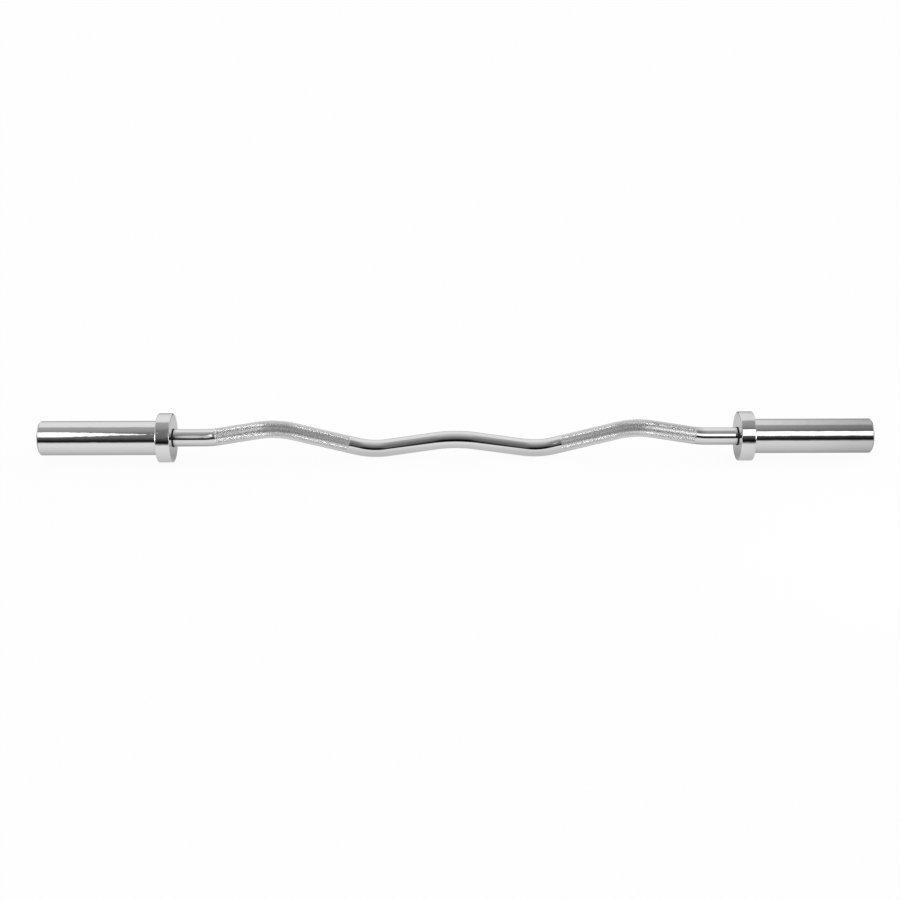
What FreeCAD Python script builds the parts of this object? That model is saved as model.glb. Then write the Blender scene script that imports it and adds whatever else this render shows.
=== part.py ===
import FreeCAD, Part
import math
import os
import Sketcher
from enum import IntEnum
from FreeCAD import Placement, Rotation, Vector

# A curl bar for plates with a 50 mm hole, in millimetres: a solid steel shaft bent in one plane, with a
# thick sleeve that turns freely on each of its ends.
# The origin is the middle of the bar, on the axis that both sleeves turn about. +X runs along the bar to
# its right end, and +Z is up. The bar lies as it does on a floor: on its two collars, with the shaft
# turned until its two inner bends come down to the floor behind the axis.

SIZES = {
    # the shaft's bend points, along the bar and across it, in the plane of the bends
    "shaft_diameter": 25.0,
    "centre_bend_depth": 2.9,
    "inner_bend_spacing": 244.0,
    "inner_bend_depth": 31.7,
    "grip_run": 135.0,
    "outer_bend_rise": 24.6,
    "outer_run": 96.0,
    "straight_run": 55.0,
    "centre_bend_radius": 125.0,
    "inner_bend_radius": 75.0,
    "outer_bend_radius": 80.0,
    "first_bend_radius": 80.0,
    "floor_gap": 0.2,
    # the shaft's turned ends
    "shoulder_height": 1.5,
    "shoulder_setback": 1.0,
    "journal_chamfer": 1.0,
    # collar and sleeve
    "plate_stop_height": 10.75,
    "collar_width": 21.0,
    "collar_web": 6.0,
    "seal_seat_depth": 4.0,
    "collar_round": 1.5,
    "sleeve_diameter": 49.5,
    "sleeve_length": 171.0,
    "sleeve_chamfer": 1.5,
    "spigot_step": 1.5,
    "sleeve_recess": 22.0,
    "recess_share": 0.28,
    "recess_clearance": 0.5,
    "cap_seat_depth": 8.0,
    "cap_seat_share": 0.46,
    # bearings, washers and seal
    "bush_wall": 3.0,
    "bush_length": 30.0,
    "bush_flange_thickness": 2.0,
    "washer_thickness": 1.8,
    "seal_section": 1.9,
    "seal_setback": 1.0,
    "seal_lip_wall": 0.8,
    "seal_lip_reach": 1.4,
    "seal_lip_bevel": 0.3,
    # end cap
    "cap_thickness": 4.0,
    "cap_dish_margin": 5.0,
    "cap_dish_depth": 1.2,
    # circlips and their grooves
    "shaft_clip_thickness": 1.2,
    "shaft_clip_width": 2.2,
    "shaft_groove_depth": 0.7,
    "shaft_clip_land": 3.8,
    "cap_clip_thickness": 1.5,
    "cap_clip_width": 2.4,
    "cap_groove_depth": 1.1,
    "clip_gap": 4.0,
    "lug_radius": 1.8,
    "lug_hole": 1.7,
    # fits
    "running_clearance": 0.05,
    "seal_clearance": 0.1,
    "lip_clearance": 0.2,
    "seat_gap": 0.02,
    "end_float": 0.2,
    "groove_clearance": 0.05,
    "washer_clearance": 0.1,
}

SIDES = ("left", "right")

# Stations along the bar, counted from its middle, for the right-hand end
INNER_BEND = "(Sizes.inner_bend_spacing / 2)"
OUTER_BEND = f"({INNER_BEND} + Sizes.grip_run)"
FIRST_BEND = f"({OUTER_BEND} + Sizes.outer_run)"
COLLAR_INNER = f"({FIRST_BEND} + Sizes.straight_run)"
COLLAR_OUTER = f"({COLLAR_INNER} + Sizes.collar_width)"
TUBE_START = f"({COLLAR_INNER} + Sizes.collar_web)"
SEAL_SEAT = f"({TUBE_START} - Sizes.seal_seat_depth)"
SHOULDER = f"({TUBE_START} + Sizes.shoulder_setback)"
INNER_FLANGE = f"({SHOULDER} + Sizes.washer_thickness + Sizes.end_float)"
INNER_SEAT = f"({INNER_FLANGE} + Sizes.bush_flange_thickness)"
SLEEVE_END = f"({COLLAR_OUTER} + Sizes.sleeve_length)"
OUTER_SEAT = f"({SLEEVE_END} - Sizes.sleeve_recess)"
OUTER_WASHER = f"({OUTER_SEAT} + Sizes.end_float)"
SHAFT_CLIP = f"({OUTER_WASHER} + Sizes.washer_thickness)"
SHAFT_CLIP_END = f"({SHAFT_CLIP} + Sizes.shaft_clip_thickness)"
SHAFT_END = f"({SHAFT_CLIP_END} + Sizes.shaft_clip_land)"
CAP_SEAT = f"({SLEEVE_END} - Sizes.cap_seat_depth)"
CAP_FACE = f"({CAP_SEAT} + Sizes.cap_thickness)"
CAP_CLIP_END = f"({CAP_FACE} + Sizes.cap_clip_thickness)"

# Radii, from the shaft outwards
SHAFT_RADIUS = "(Sizes.shaft_diameter / 2)"
JOURNAL_RADIUS = f"({SHAFT_RADIUS} - Sizes.shoulder_height)"
SHAFT_GROOVE_RADIUS = f"({JOURNAL_RADIUS} - Sizes.shaft_groove_depth)"
SEAL_BORE_RADIUS = f"({SHAFT_RADIUS} + Sizes.seal_clearance)"
SEAL_RADIUS = f"({SEAL_BORE_RADIUS} + Sizes.seal_section)"
SEAL_SEAT_RADIUS = f"({SEAL_RADIUS} + Sizes.seat_gap)"
SEAL_LIP_RADIUS = f"({SEAL_BORE_RADIUS} + Sizes.seal_lip_wall)"
COLLAR_BORE_RADIUS = f"({SEAL_LIP_RADIUS} + Sizes.lip_clearance)"
BUSH_BORE_RADIUS = f"({JOURNAL_RADIUS} + Sizes.running_clearance)"
BUSH_RADIUS = f"({BUSH_BORE_RADIUS} + Sizes.bush_wall)"
WASHER_BORE_RADIUS = f"({JOURNAL_RADIUS} + Sizes.washer_clearance)"
TUBE_BORE_RADIUS = f"({BUSH_RADIUS} + Sizes.seat_gap)"
SLEEVE_RADIUS = "(Sizes.sleeve_diameter / 2)"
TUBE_WALL = f"({SLEEVE_RADIUS} - {TUBE_BORE_RADIUS})"
# The tube's wider bores each take a share of its wall
RECESS_RADIUS = f"({TUBE_BORE_RADIUS} + {TUBE_WALL} * Sizes.recess_share)"
FLANGE_RADIUS = f"({RECESS_RADIUS} - Sizes.recess_clearance)"
CAP_SEAT_RADIUS = f"({TUBE_BORE_RADIUS} + {TUBE_WALL} * Sizes.cap_seat_share)"
CAP_RADIUS = f"({CAP_SEAT_RADIUS} - Sizes.seat_gap)"
CAP_GROOVE_RADIUS = f"({CAP_SEAT_RADIUS} + Sizes.cap_groove_depth)"
CAP_DISH_RADIUS = f"({CAP_RADIUS} - Sizes.cap_dish_margin)"
SPIGOT_RADIUS = f"({SLEEVE_RADIUS} - Sizes.spigot_step)"
SOCKET_RADIUS = f"({SPIGOT_RADIUS} + Sizes.seat_gap)"
COLLAR_RADIUS = f"({SLEEVE_RADIUS} + Sizes.plate_stop_height)"
ON_AXIS = "axis"

# The lowest point of an inner bend, whose arc cuts off the corner of its two straight runs
INNER_SLOPE = f"atan((Sizes.inner_bend_depth - Sizes.centre_bend_depth) / {INNER_BEND})"
GRIP_SLOPE = "atan((Sizes.inner_bend_depth + Sizes.outer_bend_rise) / Sizes.grip_run)"
CUT_CORNER = f"Sizes.inner_bend_radius * tan(({INNER_SLOPE} + {GRIP_SLOPE}) / 2) * sin({INNER_SLOPE})"
ARC_DEPTH = f"Sizes.inner_bend_radius * (1 - cos({INNER_SLOPE}))"
LOWEST_BEND = f"(Sizes.inner_bend_depth - {CUT_CORNER} + {ARC_DEPTH})"
# The shaft hangs straight down where its bends don't reach the floor
ROOM_UNDER_SHAFT = f"({COLLAR_RADIUS} - {SHAFT_RADIUS} - Sizes.floor_gap)"
REST_TURN = f"acos(min(1; {ROOM_UNDER_SHAFT} / {LOWEST_BEND}))"

SAME_RADIUS = 1e-6


class At(IntEnum):
    """How a sketch numbers the points of a curve: its two ends, a lone point and a circle's centre."""
    START = 1
    END = 2
    POINT = 1
    CENTRE = 3


class Axis(IntEnum):
    """How a sketch numbers its own two axes."""
    ALONG = -1
    UP = -2


ORIGIN = (Axis.ALONG, At.POINT)


def make_sizes(document):
    """The sheet of driving dimensions, one named cell for each."""
    sheet = document.addObject("Spreadsheet::Sheet", "Sizes")
    for row, (name, value) in enumerate(SIZES.items(), start=1):
        sheet.set(f"A{row}", str(value))
        sheet.setAlias(f"A{row}", name)
    document.recompute()


def new_body(document, label, side=None):
    """An empty body. A left-hand piece is the right-hand one turned half a turn about the vertical."""
    body = document.addObject("PartDesign::Body", label)
    body.Label = label
    if side == "left":
        body.Placement = Placement(Vector(), Rotation(Vector(0, 0, 1), 180))
    return body


def new_sketch(body, name, plane, station=None):
    """A sketch on one of the body's own planes, moved along that plane's normal to a station."""
    sketch = body.newObject("Sketcher::SketchObject", name)
    support = [item for item in body.Origin.OriginFeatures if item.Role == plane]
    sketch.AttachmentSupport = (support[0], [""])
    sketch.MapMode = "FlatFace"
    if station:
        sketch.setExpression("AttachmentOffset.Base.z", station)
    return sketch


def bind(sketch, constraint, expression):
    """Adds a constraint whose value follows an expression of the sheet's cells."""
    index = sketch.addConstraint(constraint)
    sketch.setExpression(f"Constraints[{index}]", expression)


def place_point(sketch, curve, end, now, x, y):
    """Holds one point of a sketch at expressions for its distance right of and above the origin."""
    bind(sketch, Sketcher.Constraint("DistanceX", *ORIGIN, curve, end, now.x), x)
    if y == ON_AXIS:
        sketch.addConstraint(Sketcher.Constraint("PointOnObject", curve, end, Axis.ALONG))
    else:
        bind(sketch, Sketcher.Constraint("DistanceY", *ORIGIN, curve, end, now.y), y)


def closed_outline(sketch, corners):
    """Straight sides through corners given as expressions for station and radius."""
    count = len(corners)
    # the sides start as a regular polygon, and the constraints then take each corner to its place
    middle = Vector(2, 2, 0)
    turns = [Rotation(Vector(0, 0, 1), 360 * k / count) for k in range(count)]
    polygon = [middle + turn.multVec(Vector(1, 0, 0)) for turn in turns]
    for k in range(count):
        sketch.addGeometry(Part.LineSegment(polygon[k], polygon[(k + 1) % count]))
    for k, (station, radius) in enumerate(corners):
        sketch.addConstraint(Sketcher.Constraint("Coincident", k, At.START, (k - 1) % count, At.END))
        place_point(sketch, k, At.START, polygon[k], station, radius)


def revolve(body, name, corners):
    """A turned form: an outline above the bar's axis, turned once round it."""
    sketch = new_sketch(body, f"{name}Outline", "XZ_Plane")
    closed_outline(sketch, corners)
    turned = body.newObject("PartDesign::Revolution", name)
    turned.Profile = sketch
    turned.ReferenceAxis = (sketch, ["H_Axis"])
    turned.Angle = 360
    return turned


def circle_edges(shape, radius):
    """Names of the shape's full circular edges of one radius."""
    return [
        f"Edge{k}"
        for k, edge in enumerate(shape.Edges, start=1)
        if isinstance(edge.Curve, Part.Circle) and abs(edge.Curve.Radius - radius) < SAME_RADIUS
    ]


def bend_corners():
    """Bend points of the right half in numbers, from the middle of the bar out to the shaft's shoulder."""
    inner = SIZES["inner_bend_spacing"] / 2
    outer = inner + SIZES["grip_run"]
    first = outer + SIZES["outer_run"]
    shoulder = first + SIZES["straight_run"] + SIZES["collar_web"] + SIZES["shoulder_setback"]
    return [
        Vector(0, -SIZES["centre_bend_depth"], 0),
        Vector(inner, -SIZES["inner_bend_depth"], 0),
        Vector(outer, SIZES["outer_bend_rise"], 0),
        Vector(first, 0, 0),
        Vector(shoulder, 0, 0),
    ]


def bend_arc(before, corner, after, radius):
    """The arc that rounds a corner: its first point, its last point, its centre and if it turns left."""
    arriving = (corner - before).normalize()
    leaving = (after - corner).normalize()
    turn = arriving.x * leaving.y - arriving.y * leaving.x
    half_turn = math.asin(abs(turn)) / 2
    reach = radius * math.tan(half_turn)
    start = corner - arriving * reach
    side = 1 if turn > 0 else -1
    centre = start + Vector(-arriving.y, arriving.x, 0) * (side * radius)
    return start, corner + leaving * reach, centre, turn > 0


def add_bend(sketch, bend, arc, arriving_run, leaving_run, corner):
    """One bend: an arc tangent to both its runs, whose corner point lies on both runs' lines."""
    start, end, centre, turns_left = arc
    radius = SIZES[f"{bend}_bend_radius"]
    first, last = (start, end) if turns_left else (end, start)
    first_angle = math.atan2(first.y - centre.y, first.x - centre.x)
    last_angle = math.atan2(last.y - centre.y, last.x - centre.x)
    circle = Part.Circle(centre, Vector(0, 0, 1), radius)
    curve = sketch.addGeometry(Part.ArcOfCircle(circle, first_angle, last_angle))
    arriving_end, leaving_end = (At.START, At.END) if turns_left else (At.END, At.START)
    sketch.addConstraint(Sketcher.Constraint("Tangent", arriving_run, At.END, curve, arriving_end))
    sketch.addConstraint(Sketcher.Constraint("Tangent", curve, leaving_end, leaving_run, At.START))
    bind(sketch, Sketcher.Constraint("Radius", curve, radius), f"Sizes.{bend}_bend_radius")
    point = sketch.addGeometry(Part.Point(corner), True)
    for run in (arriving_run, leaving_run):
        sketch.addConstraint(Sketcher.Constraint("PointOnObject", point, At.POINT, run))
    return point


def place_bend_points(sketch, points, corners):
    """Holds the right half's corner points at their sizes, and the left half's as their mirror image."""
    middle = len(points) // 2
    centre, inner, outer, first = points[middle:]
    centre_corner, inner_corner, outer_corner, first_corner = corners
    sketch.addConstraint(Sketcher.Constraint("PointOnObject", centre, At.POINT, Axis.UP))
    depth = Sketcher.Constraint("DistanceY", centre, At.POINT, *ORIGIN, -centre_corner.y)
    bind(sketch, depth, "Sizes.centre_bend_depth")
    along = Sketcher.Constraint("DistanceX", *ORIGIN, inner, At.POINT, inner_corner.x)
    bind(sketch, along, INNER_BEND)
    depth = Sketcher.Constraint("DistanceY", inner, At.POINT, *ORIGIN, -inner_corner.y)
    bind(sketch, depth, "Sizes.inner_bend_depth")
    place_point(sketch, outer, At.POINT, outer_corner, OUTER_BEND, "Sizes.outer_bend_rise")
    place_point(sketch, first, At.POINT, first_corner, FIRST_BEND, ON_AXIS)
    for k in range(middle):
        twin = points[len(points) - 1 - k]
        sketch.addConstraint(Sketcher.Constraint("Symmetric", points[k], At.POINT, twin, At.POINT, Axis.UP))


def centreline_sketch(body):
    """The shaft's centreline: eight straight runs joined by seven tangent arcs, alike on both sides."""
    sketch = new_sketch(body, "Centreline", "XZ_Plane")
    right = bend_corners()
    left = [Vector(-point.x, point.y, 0) for point in reversed(right[1:])]
    corners = left + right
    bends = ("first", "outer", "inner", "centre", "inner", "outer", "first")
    arcs = [
        bend_arc(corners[k], corners[k + 1], corners[k + 2], SIZES[f"{bend}_bend_radius"])
        for k, bend in enumerate(bends)
    ]
    run_starts = [corners[0]] + [arc[1] for arc in arcs]
    run_ends = [arc[0] for arc in arcs] + [corners[-1]]
    runs = [sketch.addGeometry(Part.LineSegment(*ends)) for ends in zip(run_starts, run_ends)]
    points = [
        add_bend(sketch, bend, arcs[k], runs[k], runs[k + 1], corners[k + 1])
        for k, bend in enumerate(bends)
    ]
    place_bend_points(sketch, points, right[:-1])
    place_point(sketch, runs[-1], At.END, right[-1], SHOULDER, ON_AXIS)
    sketch.addConstraint(Sketcher.Constraint("Symmetric", runs[0], At.START, runs[-1], At.END, Axis.UP))
    return sketch


def make_shaft(document):
    """One solid bar, bent seven times in one plane, with a turned journal on each end."""
    body = new_body(document, "shaft")
    spine = centreline_sketch(body)
    section = new_sketch(body, "Section", "YZ_Plane", f"-{SHOULDER}")
    circle = Part.Circle(Vector(), Vector(0, 0, 1), SIZES["shaft_diameter"] / 2)
    ring = section.addGeometry(circle)
    section.addConstraint(Sketcher.Constraint("Coincident", ring, At.CENTRE, *ORIGIN))
    bind(section, Sketcher.Constraint("Radius", ring, circle.Radius), SHAFT_RADIUS)
    bar = body.newObject("PartDesign::AdditivePipe", "BentBar")
    bar.Profile = section
    bar.Spine = spine
    document.recompute()
    expected = spine.Shape.Length * math.pi * circle.Radius ** 2
    share = bar.Shape.Volume / expected
    print(f"bent bar: centreline {spine.Shape.Length:.1f} mm, volume share {share:.5f}")

    groove_start = f"({SHAFT_CLIP} - Sizes.groove_clearance)"
    groove_end = f"({SHAFT_CLIP_END} + Sizes.groove_clearance)"
    journal = revolve(body, "Journal", [
        (SHOULDER, ON_AXIS),
        (SHOULDER, JOURNAL_RADIUS),
        (groove_start, JOURNAL_RADIUS),
        (groove_start, SHAFT_GROOVE_RADIUS),
        (groove_end, SHAFT_GROOVE_RADIUS),
        (groove_end, JOURNAL_RADIUS),
        (f"({SHAFT_END} - Sizes.journal_chamfer)", JOURNAL_RADIUS),
        (SHAFT_END, f"({JOURNAL_RADIUS} - Sizes.journal_chamfer)"),
        (SHAFT_END, ON_AXIS),
    ])
    document.recompute()
    other_end = body.newObject("PartDesign::Mirrored", "OtherJournal")
    other_end.Originals = [journal]
    middle_plane = [item for item in body.Origin.OriginFeatures if item.Role == "YZ_Plane"]
    other_end.MirrorPlane = (middle_plane[0], [""])
    body.Tip = other_end
    # a turn about the bar, whose angle the expression then sets
    body.Placement = Placement(Vector(), Rotation(Vector(1, 0, 0), 1))
    body.setExpression("Placement.Rotation.Angle", REST_TURN)
    return body


def make_sleeve_tube(document, side):
    """Thick steel tube: a spigot goes into the collar, and the far end holds the cap and its circlip."""
    body = new_body(document, f"{side}_sleeve_tube", side)
    groove_start = f"({CAP_FACE} - Sizes.groove_clearance)"
    groove_end = f"({CAP_CLIP_END} + Sizes.groove_clearance)"
    revolve(body, "Tube", [
        (TUBE_START, RECESS_RADIUS),
        (TUBE_START, SPIGOT_RADIUS),
        (COLLAR_OUTER, SPIGOT_RADIUS),
        (COLLAR_OUTER, SLEEVE_RADIUS),
        (f"({SLEEVE_END} - Sizes.sleeve_chamfer)", SLEEVE_RADIUS),
        (SLEEVE_END, f"({SLEEVE_RADIUS} - Sizes.sleeve_chamfer)"),
        (SLEEVE_END, CAP_SEAT_RADIUS),
        (groove_end, CAP_SEAT_RADIUS),
        (groove_end, CAP_GROOVE_RADIUS),
        (groove_start, CAP_GROOVE_RADIUS),
        (groove_start, CAP_SEAT_RADIUS),
        (CAP_SEAT, CAP_SEAT_RADIUS),
        (CAP_SEAT, RECESS_RADIUS),
        (OUTER_SEAT, RECESS_RADIUS),
        (OUTER_SEAT, TUBE_BORE_RADIUS),
        (INNER_SEAT, TUBE_BORE_RADIUS),
        (INNER_SEAT, RECESS_RADIUS),
    ])
    return body


def make_collar(document, side):
    """Thick ring with rounded rims, a web that holds the seal, and a socket for the tube."""
    body = new_body(document, f"{side}_collar", side)
    ring = revolve(body, "Ring", [
        (COLLAR_INNER, COLLAR_BORE_RADIUS),
        (COLLAR_INNER, COLLAR_RADIUS),
        (COLLAR_OUTER, COLLAR_RADIUS),
        (COLLAR_OUTER, SOCKET_RADIUS),
        (TUBE_START, SOCKET_RADIUS),
        (TUBE_START, SEAL_SEAT_RADIUS),
        (SEAL_SEAT, SEAL_SEAT_RADIUS),
        (SEAL_SEAT, COLLAR_BORE_RADIUS),
    ])
    document.recompute()
    rims = circle_edges(ring.Shape, SIZES["sleeve_diameter"] / 2 + SIZES["plate_stop_height"])
    rounded = body.newObject("PartDesign::Fillet", "RoundedRims")
    rounded.Base = (ring, rims)
    rounded.setExpression("Radius", "Sizes.collar_round")
    return body


def make_dust_seal(document, side):
    """Soft ring behind the collar's web, whose thin lip comes out through the web round the shaft."""
    body = new_body(document, f"{side}_dust_seal", side)
    tip = f"({COLLAR_INNER} - Sizes.seal_lip_reach)"
    start = f"({SEAL_SEAT} + Sizes.seat_gap)"
    end = f"({TUBE_START} - Sizes.seal_setback)"
    revolve(body, "Seal", [
        (tip, SEAL_BORE_RADIUS),
        (tip, f"({SEAL_LIP_RADIUS} - Sizes.seal_lip_bevel)"),
        (f"({tip} + Sizes.seal_lip_bevel)", SEAL_LIP_RADIUS),
        (start, SEAL_LIP_RADIUS),
        (start, SEAL_RADIUS),
        (end, SEAL_RADIUS),
        (end, SEAL_BORE_RADIUS),
    ])
    return body


def make_thrust_washer(document, side, place, start):
    """Flat hardened ring on the journal."""
    body = new_body(document, f"{side}_{place}_thrust_washer", side)
    end = f"({start} + Sizes.washer_thickness)"
    revolve(body, "Washer", [
        (start, WASHER_BORE_RADIUS),
        (start, FLANGE_RADIUS),
        (end, FLANGE_RADIUS),
        (end, WASHER_BORE_RADIUS),
    ])
    return body


def make_inner_bush(document, side):
    """Bronze bush pressed in from the collar's end, with a flange that takes the side load."""
    body = new_body(document, f"{side}_inner_bush", side)
    end = f"({INNER_SEAT} + Sizes.bush_length)"
    revolve(body, "Bush", [
        (INNER_FLANGE, BUSH_BORE_RADIUS),
        (INNER_FLANGE, FLANGE_RADIUS),
        (INNER_SEAT, FLANGE_RADIUS),
        (INNER_SEAT, BUSH_RADIUS),
        (end, BUSH_RADIUS),
        (end, BUSH_BORE_RADIUS),
    ])
    return body


def make_outer_bush(document, side):
    """Plain bronze bush, level with the floor of the sleeve's outer recess."""
    body = new_body(document, f"{side}_outer_bush", side)
    start = f"({OUTER_SEAT} - Sizes.bush_length)"
    revolve(body, "Bush", [
        (start, BUSH_BORE_RADIUS),
        (start, BUSH_RADIUS),
        (OUTER_SEAT, BUSH_RADIUS),
        (OUTER_SEAT, BUSH_BORE_RADIUS),
    ])
    return body


def make_end_cap(document, side):
    """Steel disc on the ledge in the sleeve's end, with a shallow turned dish in its face."""
    body = new_body(document, f"{side}_end_cap", side)
    dish_floor = f"({CAP_FACE} - Sizes.cap_dish_depth)"
    revolve(body, "Cap", [
        (CAP_SEAT, ON_AXIS),
        (CAP_SEAT, CAP_RADIUS),
        (CAP_FACE, CAP_RADIUS),
        (CAP_FACE, CAP_DISH_RADIUS),
        (dish_floor, f"({CAP_DISH_RADIUS} - Sizes.cap_dish_depth)"),
        (dish_floor, ON_AXIS),
    ])
    return body


def add_circle(sketch, x, y, radius):
    """A circle at a place right of and above the sketch's origin, given as expressions."""
    ring = sketch.addGeometry(Part.Circle(Vector(1, 1, 0), Vector(0, 0, 1), 1))
    if x:
        place_point(sketch, ring, At.CENTRE, Vector(1, 1, 0), x, y)
    else:
        sketch.addConstraint(Sketcher.Constraint("Coincident", ring, At.CENTRE, *ORIGIN))
    bind(sketch, Sketcher.Constraint("Radius", ring, 1), radius)
    return ring


def add_circle_pair(sketch, x, y, radius):
    """A circle and its mirror image across the sketch's upright axis."""
    ring = add_circle(sketch, x, y, radius)
    twin = sketch.addGeometry(Part.Circle(Vector(-1, 1, 0), Vector(0, 0, 1), 1))
    sketch.addConstraint(Sketcher.Constraint("Symmetric", ring, At.CENTRE, twin, At.CENTRE, Axis.UP))
    sketch.addConstraint(Sketcher.Constraint("Equal", ring, twin))


def pad(body, name, sketch, length):
    """Thickens a sketch along the bar, away from its middle."""
    feature = body.newObject("PartDesign::Pad", name)
    feature.Profile = sketch
    feature.setExpression("Length", length)
    return feature


def cut_through(document, body, name, sketch):
    """Cuts a sketch through the whole piece, and makes sure that it took something away."""
    document.recompute()
    before = body.Shape.Volume
    feature = body.newObject("PartDesign::Pocket", name)
    feature.Profile = sketch
    feature.Type = "ThroughAll"
    feature.Reversed = True
    document.recompute()
    if body.Shape.Volume >= before:
        raise RuntimeError(f"{body.Label}: {name} cuts nothing")


def make_circlip(document, label, side, span, inner_radius, outer_radius, lug_height):
    """A sprung ring with a gap at its top and a lug with a plier hole on each side of the gap."""
    start, thickness = span
    body = new_body(document, label, side)
    ring = new_sketch(body, "RingOutline", "YZ_Plane", start)
    add_circle(ring, None, None, outer_radius)
    add_circle(ring, None, None, inner_radius)
    pad(body, "Ring", ring, thickness)
    lug_place = "(Sizes.clip_gap / 2 + Sizes.lug_radius)"
    lugs = new_sketch(body, "LugOutline", "YZ_Plane", start)
    add_circle_pair(lugs, lug_place, lug_height, "Sizes.lug_radius")
    document.recompute()
    pad(body, "Lugs", lugs, thickness)

    gap = new_sketch(body, "GapOutline", "YZ_Plane", start)
    corners = [Vector(-1, 1, 0), Vector(1, 1, 0), Vector(1, 2, 0), Vector(-1, 2, 0)]
    for k, corner in enumerate(corners):
        gap.addGeometry(Part.LineSegment(corner, corners[(k + 1) % len(corners)]))
    for k in range(len(corners)):
        gap.addConstraint(Sketcher.Constraint("Coincident", k, At.START, (k - 1) % len(corners), At.END))
    gap.addConstraint(Sketcher.Constraint("Symmetric", 0, At.START, 0, At.END, Axis.UP))
    gap.addConstraint(Sketcher.Constraint("Vertical", 1))
    gap.addConstraint(Sketcher.Constraint("Horizontal", 2))
    gap.addConstraint(Sketcher.Constraint("Vertical", 3))
    bind(gap, Sketcher.Constraint("DistanceX", 0, At.START, 0, At.END, 2), "Sizes.clip_gap")
    bind(gap, Sketcher.Constraint("DistanceY", *ORIGIN, 0, At.START, 1), f"({inner_radius} / 2)")
    bind(gap, Sketcher.Constraint("DistanceY", *ORIGIN, 2, At.START, 2), f"({outer_radius} * 2)")
    cut_through(document, body, "Gap", gap)

    holes = new_sketch(body, "HoleOutline", "YZ_Plane", start)
    add_circle_pair(holes, lug_place, lug_height, "(Sizes.lug_hole / 2)")
    cut_through(document, body, "PlierHoles", holes)
    return body


def make_shaft_circlip(document, side):
    """External circlip in the journal's groove, with its lugs standing out."""
    inner_radius = f"({SHAFT_GROOVE_RADIUS} + Sizes.groove_clearance)"
    outer_radius = f"({inner_radius} + Sizes.shaft_clip_width)"
    label = f"{side}_shaft_circlip"
    span = (SHAFT_CLIP, "Sizes.shaft_clip_thickness")
    return make_circlip(document, label, side, span, inner_radius, outer_radius, lug_height=outer_radius)


def make_end_cap_circlip(document, side):
    """Internal circlip in the sleeve's groove, with its lugs standing in."""
    outer_radius = f"({CAP_GROOVE_RADIUS} - Sizes.groove_clearance)"
    inner_radius = f"({outer_radius} - Sizes.cap_clip_width)"
    label = f"{side}_end_cap_circlip"
    span = (CAP_FACE, "Sizes.cap_clip_thickness")
    return make_circlip(document, label, side, span, inner_radius, outer_radius, lug_height=inner_radius)


def make_parts(document):
    """Every piece of the bar, in the order in which it goes together."""
    parts = [make_shaft(document)]
    for side in SIDES:
        parts.append(make_thrust_washer(document, side, "inner", SHOULDER))
        parts.append(make_inner_bush(document, side))
        parts.append(make_outer_bush(document, side))
        parts.append(make_sleeve_tube(document, side))
        parts.append(make_collar(document, side))
        parts.append(make_dust_seal(document, side))
        parts.append(make_thrust_washer(document, side, "outer", OUTER_WASHER))
        parts.append(make_shaft_circlip(document, side))
        parts.append(make_end_cap(document, side))
        parts.append(make_end_cap_circlip(document, side))
    document.recompute()
    return parts


def check(document, parts):
    """Stops before anything is written if a feature failed or a piece isn't one sound solid."""
    for item in document.Objects:
        if "Invalid" in item.State or "Error" in item.State:
            raise RuntimeError(f"{item.Label} failed")
    for part in parts:
        shape = part.Shape
        if shape.isNull() or not shape.isValid() or len(shape.Solids) != 1:
            raise RuntimeError(f"{part.Label} isn't one valid solid")


def write(parts):
    """One file for each piece."""
    os.makedirs("parts", exist_ok=True)
    for part in parts:
        part.Shape.exportStep(os.path.join("parts", f"{part.Label}.step"))
        box = part.Shape.optimalBoundingBox()
        low = f"{box.XMin:.2f} {box.YMin:.2f} {box.ZMin:.2f}"
        high = f"{box.XMax:.2f} {box.YMax:.2f} {box.ZMax:.2f}"
        print(f"{part.Label}: {part.Shape.Volume:.0f} mm3, from {low} to {high}")


document = FreeCAD.newDocument("CurlBar")
make_sizes(document)
parts = make_parts(document)
check(document, parts)
write(parts)
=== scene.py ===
# %% [markdown]
# # A chrome curl bar
# A curl bar is a short barbell for arm exercises. Its steel shaft is bent in a shallow wave, so that the
# hands hold it at an angle that is kind to the wrists, and a thick sleeve that carries the plates turns
# freely on each end. Nearly all of it is bright chrome, so this lesson is about three things: a clean
# round bar with smooth bends, a knurl that is really there, and a studio worth reflecting.
# The frame comes first. It is the measured model, and everything here is built around it.

# %% The frame
import math

import bpy
from mathutils import Euler, Matrix, Vector


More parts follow.
